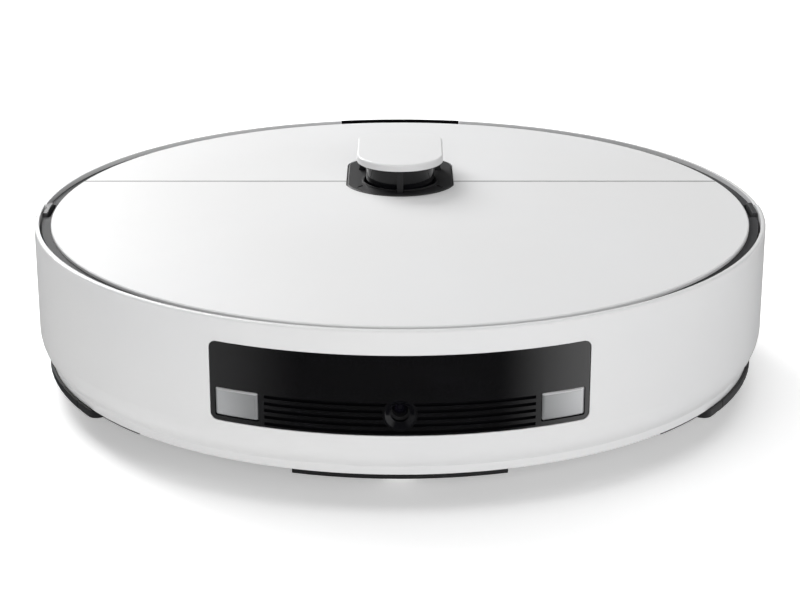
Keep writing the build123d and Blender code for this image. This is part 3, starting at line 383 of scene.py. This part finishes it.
finishes = {name: makeMoulding(name, look) for name, look in mouldings.items()}
finishes.update({name: makeMetal(name, look) for name, look in metals.items()})
finishes.update({name: makeRubber(name, look) for name, look in rubbers.items()})
finishes.update(
    black_window=makeWindowGloss("black_window", windowLook),
    turret_black=makeTurretGloss("turret_black", turretLook["colour"]),
    sensor_dark=makeTurretGloss("sensor_dark", turretLook["sensor"]),
    lamp_silver=makeLampDiffuser("lamp_silver", lampLook),
    filter_paper=makeFilterPaper("filter_paper", filterLook),
    board_green=makeBoard("board_green", boardLook),
    battery_wrap=makeBatteryWrap("battery_wrap", batteryLook),
    lens_glass=makeLens("lens_glass", lensLook),
)
for name, piece in nodes.items():
    for materialSlot in piece.material_slots:
        materialSlot.material = finishes[slotOfNode[name]]
print("finishes made:", len(finishes))


def mm(value):
    return value / 1000.0


sharpAngle = 32     # degrees; flatter edges are shaded smooth


def newPiece(name, mesh, material, body):
    piece = bpy.data.objects.new(name, mesh)
    bpy.context.collection.objects.link(piece)
    mesh.materials.clear()
    mesh.materials.append(material)
    mesh.shade_smooth()
    mesh.set_sharp_from_angle(angle=math.radians(sharpAngle))
    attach(piece, body)
    return piece


def meshFrom(name, build):
    mesh = bpy.data.meshes.new(name)
    form = bmesh.new()
    build(form)
    bmesh.ops.recalc_face_normals(form, faces=form.faces)
    form.to_mesh(mesh)
    form.free()
    return mesh


def addLoops(form, loops):
    # skins rings of points, each with the same count, into a tube with closed ends
    rings = [[form.verts.new(point) for point in loop] for loop in loops]
    skin(form, rings)
    form.faces.new(rings[0][::-1])
    form.faces.new(rings[-1])


def skin(form, rings):
    count = len(rings[0])
    for low, high in zip(rings, rings[1:]):
        for i in range(count):
            j = (i + 1) % count
            form.faces.new((low[i], low[j], high[j], high[i]))


def addLathe(form, profile, centre, count):
    # turns a closed profile of (radius, depth) points about an axis that runs from front to back
    rings = []
    for radius, depth in profile:
        ring = []
        for i in range(count):
            turn = 2 * math.pi * i / count
            point = (radius * math.cos(turn), depth, radius * math.sin(turn))
            ring.append(form.verts.new([mm(p + c) for p, c in zip(point, centre)]))
        rings.append(ring)
    skin(form, rings + rings[:1])


class Layout:
    # a Geometry Nodes tree with named sizes, which sets copies of its host's mesh on computed points
    def __init__(self, name, sizes):
        self.name = name
        self.sizes = sizes
        self.tree = bpy.data.node_groups.new(name, "GeometryNodeTree")
        face = self.tree.interface
        face.new_socket("Geometry", in_out="INPUT", socket_type="NodeSocketGeometry")
        self.keys = {}
        for label, value in sizes.items():
            kind = "NodeSocketInt" if isinstance(value, int) else "NodeSocketFloat"
            self.keys[label] = face.new_socket(label, in_out="INPUT", socket_type=kind).identifier
        face.new_socket("Geometry", in_out="OUTPUT", socket_type="NodeSocketGeometry")
        self.group = self.tree.nodes.new("NodeGroupInput")

    def given(self, label):
        return Wire(self.tree, self.group.outputs[label])

    def node(self, kind, settings=None, inputs=None, output=0):
        return addNode(self.tree, kind, settings, inputs, output)

    def maths(self, operation, first, second=0.0):
        return self.node("ShaderNodeMath", {"operation": operation}, {0: first, 1: second})

    def index(self):
        return self.node("GeometryNodeInputIndex")

    def random(self, low, high, seed):
        return self.node("FunctionNodeRandomValue", {"data_type": "FLOAT"}, {2: low, 3: high, 8: seed}, 1)

    def vector(self, x, y, z):
        return self.node("ShaderNodeCombineXYZ", None, {0: x, 1: y, 2: z})

    def points(self, count, position):
        return self.node("GeometryNodePoints", None, {"Count": count, "Position": position})

    def build(self, points, rotation, scale, element, material, body, slotName):
        copies = self.node("GeometryNodeInstanceOnPoints", None,
                           {"Points": points, "Instance": self.given("Geometry"),
                            "Rotation": rotation, "Scale": scale})
        solid = self.node("GeometryNodeRealizeInstances", None, {0: copies})
        painted = self.node("GeometryNodeSetMaterial", None, {"Geometry": solid, "Material": material})
        result = self.tree.nodes.new("NodeGroupOutput")
        self.tree.links.new(painted.socket, result.inputs[0])
        host = bpy.data.objects.new(self.name, element)
        bpy.context.collection.objects.link(host)
        modifier = host.modifiers.new(self.name, "NODES")
        modifier.node_group = self.tree
        for label, value in self.sizes.items():
            modifier[self.keys[label]] = value
        bpy.context.view_layer.update()
        evaluated = host.evaluated_get(bpy.context.evaluated_depsgraph_get())
        mesh = bpy.data.meshes.new_from_object(evaluated)
        host.modifiers.remove(modifier)
        bpy.data.objects.remove(host)
        return newPiece(self.name, mesh, material, body)


undersideHeight = 12.3
screwLook = dict(count=9, ring=158.0, first=66.0, step=28.5, head=2.7, height=0.75,
                 cross=1.5, arm=0.42, depth=0.6, crossTaper=0.8, crown=0.84, shoulder=0.55, sunk=0.3, seed=11)


def makeScrewHead(look):
    # a pan head that hangs below z = 0, with a cross recess
    def build(form):
        head, cross, arm = mm(look["head"]), mm(look["cross"]), mm(look["arm"])
        low, floor = -mm(look["height"]), -mm(look["height"] - look["depth"])
        plus = [(cross, -arm), (cross, arm), (arm, arm), (arm, cross), (-arm, cross), (-arm, arm),
                (-cross, arm), (-cross, -arm), (-arm, -arm), (-arm, -cross), (arm, -cross), (arm, -arm)]
        taper = look["crossTaper"]
        rings = [[form.verts.new((x * taper, y * taper, floor)) for x, y in plus],
                 [form.verts.new((x, y, low)) for x, y in plus]]
        outline = ((look["crown"] * head, low), (head, look["shoulder"] * low), (head, mm(look["sunk"])))
        for radius, z in outline:
            turns = [math.atan2(y, x) for x, y in plus]
            rings.append([form.verts.new((radius * math.cos(t), radius * math.sin(t), z)) for t in turns])
        skin(form, rings)
        form.faces.new(rings[0])
        form.faces.new(rings[-1])
    return meshFrom("screwHead", build)


def ringTurn(plan):
    return plan.given("First Angle") + plan.index() * plan.given("Angle Step")


def ringPlace(plan, turn):
    # a point on a ring about the middle, with turn 0 at the front
    ring = plan.given("Ring Radius")
    x, y = plan.maths("SINE", turn) * ring, plan.maths("COSINE", turn) * ring * -1
    return plan.vector(x, y, plan.given("Height"))


def makeUndersideScrews(look):
    plan = Layout("underside_screws", {"Count": look["count"], "Ring Radius": mm(look["ring"]),
                                       "First Angle": math.radians(look["first"]),
                                       "Angle Step": math.radians(look["step"]),
                                       "Height": mm(undersideHeight)})
    turn = ringTurn(plan)
    place = ringPlace(plan, turn)
    spin = plan.vector(0.0, 0.0, plan.random(0.0, 3.0, look["seed"]))
    plan.build(plan.points(plan.given("Count"), place), spin, (1, 1, 1), makeScrewHead(look),
               finishes["steel"], "base", "steel")


recessLook = dict(count=11, ring=124.0, first=20.0, step=3.1, length=50.0, thick=0.9, depth=2.0, roof=17.0,
                  sunk=0.2, shoulder=0.7, chamfer=0.25)


def makeRecessRibs(look, name, side):
    # radial stiffening ribs on the roof of one side-brush recess
    def build(form):
        x, y, z = mm(look["thick"] / 2), mm(look["length"] / 2), mm(look["depth"])
        steps = ((mm(look["sunk"]), 0.0), (-look["shoulder"] * z, 0.0), (-z, mm(look["chamfer"])))
        loops = []
        for height, inset in steps:
            loops.append([(-x + inset, -y + inset, height), (x - inset, -y + inset, height),
                          (x - inset, y - inset, height), (-x + inset, y - inset, height)])
        addLoops(form, loops)

    plan = Layout(name, {"Count": look["count"], "Ring Radius": mm(look["ring"]),
                         "First Angle": side * math.radians(look["first"]),
                         "Angle Step": side * math.radians(look["step"]), "Height": mm(look["roof"])})
    turn = ringTurn(plan)
    place = ringPlace(plan, turn)
    plan.build(plan.points(plan.given("Count"), place), plan.vector(0.0, 0.0, turn), (1, 1, 1),
               meshFrom(name + "Rib", build), finishes["base_black"], "base", "base_black")


def makeStrand(name, look):
    # one bristle along +X that droops and tapers
    def build(form):
        loops = []
        for i in range(look["parts"] + 1):
            t = i / look["parts"]
            x, z = mm(look["length"]) * t, -mm(look["droop"]) * t * t
            half = mm(look["thick"]) * (0.5 - look["taper"] * t)
            loops.append([(x, -half, z - half), (x, half, z - half),
                          (x, half, z + half), (x, -half, z + half)])
        addLoops(form, loops)
    return meshFrom(name, build)


sideBrushLook = dict(count=150, centre=(-80.0, -97.0), start=15.5, height=7.9,
                     length=32.0, thick=0.42, droop=4.6, taper=0.22, parts=5,
                     arms=2, armTurn=-30.0, spread=13.0, wide=2.3, tall=0.8,
                     twist=0.9, dip=(-0.03, 0.05), shortest=0.86, seed=5)


def makeSideBristles(look):
    # loose bristles in arms that fan out from the hub
    plan = Layout("side_brush_tufts", {"Count": look["count"], "Centre X": mm(look["centre"][0]),
                                       "Centre Y": mm(look["centre"][1]), "Start": mm(look["start"]),
                                       "Height": mm(look["height"]), "Spread": math.radians(look["spread"])})
    seed = look["seed"]
    armStep = 2 * math.pi / look["arms"]
    arm = plan.maths("MODULO", plan.index(), float(look["arms"])) * armStep + math.radians(look["armTurn"])
    turn = arm + plan.random(-1.0, 1.0, seed) * plan.given("Spread")
    sideways = plan.random(-1.0, 1.0, seed + 1) * mm(look["wide"])
    start = plan.given("Start")
    x = plan.given("Centre X") + plan.maths("COSINE", arm) * start - plan.maths("SINE", arm) * sideways
    y = plan.given("Centre Y") + plan.maths("SINE", arm) * start + plan.maths("COSINE", arm) * sideways
    z = plan.given("Height") + plan.random(-1.0, 1.0, seed + 2) * mm(look["tall"])
    roll = plan.random(-look["twist"], look["twist"], seed + 3)
    tilt = plan.vector(roll, plan.random(*look["dip"], seed + 4), turn)
    size = plan.random(look["shortest"], 1.0, seed + 5)
    points = plan.points(plan.given("Count"), plan.vector(x, y, z))
    tufts = plan.build(points, tilt, plan.vector(size, 1.0, 1.0), makeStrand("sideStrand", look),
                       finishes["bristle_black"], "side_brush", "bristle_black")
    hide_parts("side_brush_bristles")


mainBrushLook = dict(rows=6, perRow=96, centre=(-30.0, 24.0), half=71.0, foot=10.2, length=10.6, thick=0.55,
                     turn=46.0, strands=3, lean=0.07, taper=0.4, bend=0.05, jitter=0.03, sway=0.06,
                     shortest=0.9, seed=21)


def makeMainBristles(look):
    # rows of tufts half way between the rubber fins, twisted as the fins are
    def build(form):
        half, length = mm(look["thick"] / 2), mm(look["length"])
        for i in range(look["strands"]):
            side = i - look["strands"] // 2
            loops = []
            for t in (0.0, 0.5, 1.0):
                wide = half * (1 - look["taper"] * t)
                x = length * t * side * look["lean"] + side * half
                y, z = length * t * t * look["bend"], length * t
                loops.append([(x - wide, y - wide, z), (x + wide, y - wide, z),
                              (x + wide, y + wide, z), (x - wide, y + wide, z)])
            addLoops(form, loops)

    plan = Layout("brush_tufts", {"Rows": look["rows"], "Tufts per Row": look["perRow"],
                                  "Half Length": mm(look["half"]), "Foot Radius": mm(look["foot"]),
                                  "Centre Y": mm(look["centre"][0]), "Centre Z": mm(look["centre"][1]),
                                  "Twist": math.radians(look["turn"])})
    seed, jitter = look["seed"], look["jitter"]
    index, perRow = plan.index(), plan.given("Tufts per Row")
    row = plan.maths("FLOOR", index / perRow)
    column = plan.maths("MODULO", index, perRow)
    along = column / (perRow - 1) * 2 - 1
    turn = (row + 0.5) / plan.given("Rows") * (2 * math.pi)
    turn = turn - plan.maths("ABSOLUTE", along) * plan.given("Twist")
    turn = turn + plan.random(-jitter, jitter, seed)
    foot = plan.given("Foot Radius")
    y = plan.given("Centre Y") - plan.maths("SINE", turn) * foot
    z = plan.given("Centre Z") + plan.maths("COSINE", turn) * foot
    place = plan.vector(along * plan.given("Half Length"), y, z)
    rotation = plan.vector(turn, plan.random(-look["sway"], look["sway"], seed + 1), 0.0)
    size = plan.random(look["shortest"], 1.0, seed + 2)
    plan.build(plan.points(plan.given("Rows") * perRow, place), rotation, plan.vector(1.0, 1.0, size),
               meshFrom("mainTuft", build), finishes["bristle_black"], "main_brush", "bristle_black")


# each rim is an inset and a depth under the curve of the shell
lampShape = dict(inner=59.3, outer=77.6, bottom=38.3, top=50.5, radius=174.9, columns=22,
                 corner=0.9, cornerLoss=0.5, smallestCorner=0.3,
                 rims=((0.0, 3.0), (0.0, 0.95), (0.12, 0.78), (0.85, 0.05), (0.95, 0.0)))


def makeLamps(look):
    # two curved lamp covers with bevelled edges, made of upright columns of faces
    def rim(side, inset, depth):
        x0, x1 = look["inner"] + inset, look["outer"] - inset
        corner = max(look["corner"] - look["cornerLoss"] * inset, look["smallestCorner"])
        reach = look["radius"] - depth
        below, above = [], []
        for i in range(look["columns"] + 1):
            x = x0 + (x1 - x0) * (1 - math.cos(math.pi * i / look["columns"])) / 2
            near = max(0.0, corner - min(x - x0, x1 - x))
            cut = corner - math.sqrt(corner * corner - near * near)
            y = -math.sqrt(reach * reach - x * x)
            below.append((mm(side * x), mm(y), mm(look["bottom"] + inset + cut)))
            above.append((mm(side * x), mm(y), mm(look["top"] - inset - cut)))
        return below + above[::-1]

    def build(form):
        for side in (1, -1):
            rings = [[form.verts.new(point) for point in rim(side, *step)] for step in look["rims"]]
            skin(form, rings)
            count = len(rings[0])
            for ring in (rings[0], rings[-1]):
                for i in range(count // 2 - 1):
                    form.faces.new((ring[i], ring[i + 1], ring[count - 2 - i], ring[count - 1 - i]))

    mesh = meshFrom("lamp_covers", build)
    lamps = newPiece("lamp_covers", mesh, finishes["lamp_silver"], "bumper")
    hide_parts("headlamps")


# each ring is a radius and a depth behind the front
bezelLook = dict(z=45.3, front=-174.82, count=72,
                 rings=((6.75, 0.3), (6.75, 0.05), (6.6, 0.0), (6.3, 0.0), (5.9, 0.35),
                        (4.35, 2.1), (4.05, 2.3), (4.05, 2.9), (4.4, 2.9), (6.4, 0.9)))


def makeBezel(look):
    # the funnel round the camera, with a fine step at its inner edge
    centre = (0, look["front"], look["z"])
    mesh = meshFrom("camera_bezel", lambda form: addLathe(form, look["rings"], centre, look["count"]))
    newPiece("camera_bezel", mesh, finishes["turret_black"], "bumper")


keyLook = dict(line=0.32, lift=0.12, sunk=0.05, crown=0.7,
               ring=3.0, gap=38.0, ringSteps=28, barFoot=0.91, barStep=0.35, barPoints=8,
               roof=((-2.6, 0.2), (-1.3, 1.55), (0.0, 2.9), (1.3, 1.55), (2.6, 0.2)),
               walls=((-1.7, 0.6), (-1.7, -0.8), (-1.7, -2.2), (0.0, -2.2),
                      (1.7, -2.2), (1.7, -0.8), (1.7, 0.6)))


def makeKeyMark(name, node, paths, body, look):
    # raised lines along the paths, on the top of a key
    low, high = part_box(node)
    cx, cy, top = (low[0] + high[0]) / 2, (low[1] + high[1]) / 2, high[2]
    half, crown, foot, crest = mm(look["line"]), look["crown"], top - mm(look["sunk"]), top + mm(look["lift"])

    def build(form):
        for path in paths:
            loops = []
            for i, (x, y) in enumerate(path):
                ahead = path[min(i + 1, len(path) - 1)]
                behind = path[max(i - 1, 0)]
                dx, dy = ahead[0] - behind[0], ahead[1] - behind[1]
                size = math.hypot(dx, dy)
                nx, ny = -dy / size * half, dx / size * half
                px, py = cx + mm(x), cy + mm(y)
                loops.append([(px - nx, py - ny, foot), (px + nx, py + ny, foot),
                              (px + nx * crown, py + ny * crown, crest),
                              (px - nx * crown, py - ny * crown, crest)])
            addLoops(form, loops)
    newPiece(name, meshFrom(name, build), finishes["white_shell"], body)


def makeKeyMarks(look):
    arc = []
    for i in range(look["ringSteps"] + 1):
        turn = math.radians(90 + look["gap"] + (360 - 2 * look["gap"]) * i / look["ringSteps"])
        arc.append((look["ring"] * math.cos(turn), look["ring"] * math.sin(turn)))
    bar = [(0, look["barFoot"] + look["barStep"] * i) for i in range(look["barPoints"])]
    makeKeyMark("power_mark", "power_button", (arc, bar), "power_key", look)
    makeKeyMark("home_mark", "home_button", (look["roof"], look["walls"]), "home_key", look)


# the dark strip put in the seam as painted shade: its place, half width, ends, heights and chamfer
seamLook = dict(y=48.51, half=0.23, inner=27.4, outer=159.6, low=79.7, high=81.52, chamfer=(0.06, 0.08))


def makeSeamShadowStrip(look):
    # a dark strip in the gap between the lift-off cover and the rear one, put there as painted shade to
    # darken the seam
    inset, drop = look["chamfer"]

    def build(form):
        for side in (1, -1):
            x0, x1 = side * mm(look["inner"]), side * mm(look["outer"])
            loops = []
            for height, trim in ((look["low"], 0.0), (look["high"] - drop, 0.0), (look["high"], inset)):
                y0, y1 = mm(look["y"] - look["half"] + trim), mm(look["y"] + look["half"] - trim)
                z = mm(height)
                loops.append([(x0, y0, z), (x1, y0, z), (x1, y1, z), (x0, y1, z)])
            addLoops(form, loops)
    newPiece("seam_shadow_strip", meshFrom("seam_shadow_strip", build), finishes["belt_rubber"], "base")


plinthLook = dict(length=4.4, width=1.1, place=(20.0, 38.0), turn=53.0, top=81.8, lift=0.06, sunk=0.4,
                  points=16)


def makePlinthNotches(look):
    # thin dark bars with round ends, for the diagonal slots in the front corners of the surround; the slots
    # are real, and the bars' black is painted shade for the shade inside them
    radius = look["width"] / 2

    def bar(form, side):
        turn = -side * math.radians(look["turn"])
        cos, sin = math.cos(turn), math.sin(turn)
        loops = []
        for height in (look["top"] - look["sunk"], look["top"] + look["lift"]):
            loop = []
            for i in range(look["points"]):
                angle = 2 * math.pi * i / look["points"]
                end = 1 if math.cos(angle) >= 0 else -1
                u = end * (look["length"] / 2 - radius) + radius * math.cos(angle)
                v = radius * math.sin(angle)
                x, y = side * look["place"][0] + u * cos - v * sin, look["place"][1] + u * sin + v * cos
                loop.append((mm(x), mm(y), mm(height)))
            loops.append(loop)
        addLoops(form, loops)

    def build(form):
        bar(form, 1)
        bar(form, -1)
    mesh = meshFrom("plinth_notches", build)
    # painted shade: the bars are gloss black to show the shade within the slots
    newPiece("plinth_notches", mesh, finishes["turret_black"], "base")


makeUndersideScrews(screwLook)
makeRecessRibs(recessLook, "recess_ribs_left", 1)
makeRecessRibs(recessLook, "recess_ribs_right", -1)
makeSideBristles(sideBrushLook)
makeMainBristles(mainBrushLook)
makeLamps(lampShape)
makeBezel(bezelLook)
makeKeyMarks(keyLook)
makeSeamShadowStrip(seamLook)
makePlinthNotches(plinthLook)
print("pieces made")


stageLook = dict(floorSize=9.0, floor=(0.92, 0.92, 0.92), patches=(0.84, 0.84, 0.84), patchStrength=0.03,
                 specular=0.1, rough=0.8, rougher=0.05, glow=0.35, room=0.03,
                 rightWall=0.85, leftWall=0.25, wallFrom=0.45, wallTo=0.9, aim=(0, 0, 0.05))
lightLook = {   # place, size and watts of each softbox; mirrored=False keeps it out of reflections
    "leftSoftbox": dict(place=(-0.42, 0.25, 0.75), size=(0.4, 0.4), watts=1.5),
    "backSoftbox": dict(place=(-1.0, 1.6, 1.1), size=(1.2, 1.0), watts=41.0),
    "topSoftbox": dict(place=(0.0, 0.2, 2.4), size=(2.2, 2.2), watts=33.0),
    "frontSoftbox": dict(place=(0.0, -2.6, 0.9), size=(1.6, 1.0), watts=29.0, mirrored=False),
    "rightFrontSoftbox": dict(place=(1.5, -2.0, 0.9), size=(0.9, 1.2), watts=13.8, mirrored=False),
}
cameraLook = dict(place=(0.0, -0.9879, 0.3791), pitch=19.22, lens=95.69, sensor=36.0)


def makeFloor():
    half = stageLook["floorSize"] / 2
    mesh = bpy.data.meshes.new("floor")
    corners = [(-half, -half, 0), (half, -half, 0), (half, half, 0), (-half, half, 0)]
    mesh.from_pydata(corners, [], [(0, 1, 2, 3)])
    floor = bpy.data.objects.new("floor", mesh)
    bpy.context.collection.objects.link(floor)
    floor.visible_glossy = False                    # keeps the gloss black parts dark
    finish = Finish("paleFloor", specular=stageLook["specular"])
    finish.shader.inputs["Emission Color"].default_value = (1, 1, 1, 1)
    finish.shader.inputs["Emission Strength"].default_value = stageLook["glow"]
    patches = finish.noise(3.0) * stageLook["patchStrength"]
    finish.feed("Base Color", finish.mix(patches, opaque(stageLook["floor"]), opaque(stageLook["patches"])))
    finish.feed("Roughness", stageLook["rough"] + finish.noise(40.0) * stageLook["rougher"])
    mesh.materials.append(finish.material)


def makeLights():
    world = bpy.data.worlds.new("paleRoom")
    bpy.context.scene.world = world
    world.use_nodes = True
    tree = world.node_tree
    # the room is white to the eye, and only reflections show its side walls
    seen = addNode(tree, "ShaderNodeLightPath", output="Is Camera Ray")
    mirrored = addNode(tree, "ShaderNodeLightPath", output="Is Glossy Ray")
    where = addNode(tree, "ShaderNodeTexCoord", output="Generated")
    across = addNode(tree, "ShaderNodeSeparateXYZ", None, {0: where})
    walls = 0.0
    for side, strength in ((1, stageLook["rightWall"]), (-1, stageLook["leftWall"])):
        walls = walls + addNode(tree, "ShaderNodeMapRange", {"interpolation_type": "SMOOTHSTEP"},
                                {0: across * float(side), 1: stageLook["wallFrom"], 2: stageLook["wallTo"],
                                 3: 0.0, 4: strength})
    background = tree.nodes["Background"]
    background.inputs["Color"].default_value = (1, 1, 1, 1)
    tree.links.new((seen + mirrored * walls + stageLook["room"]).socket, background.inputs["Strength"])
    for name, look in lightLook.items():
        light = bpy.data.lights.new(name, "AREA")
        light.shape = "RECTANGLE"
        light.size, light.size_y = look["size"]
        light.energy = look["watts"]
        lamp = bpy.data.objects.new(name, light)
        lamp.location = look["place"]
        lamp.visible_glossy = look.get("mirrored", True)
        aim = Vector(stageLook["aim"]) - lamp.location
        lamp.rotation_euler = aim.to_track_quat("-Z", "Y").to_euler()
        bpy.context.collection.objects.link(lamp)


def makeCamera():
    data = bpy.data.cameras.new("camera")
    data.lens = cameraLook["lens"]
    data.sensor_width = cameraLook["sensor"]
    camera = bpy.data.objects.new("camera", data)
    camera.location = cameraLook["place"]
    camera.rotation_euler = (math.radians(90 - cameraLook["pitch"]), 0, 0)
    bpy.context.collection.objects.link(camera)
    bpy.context.scene.camera = camera


makeFloor()
makeLights()
makeCamera()
bpy.context.scene.view_settings.view_transform = "Standard"
print("stage, lights and camera placed")
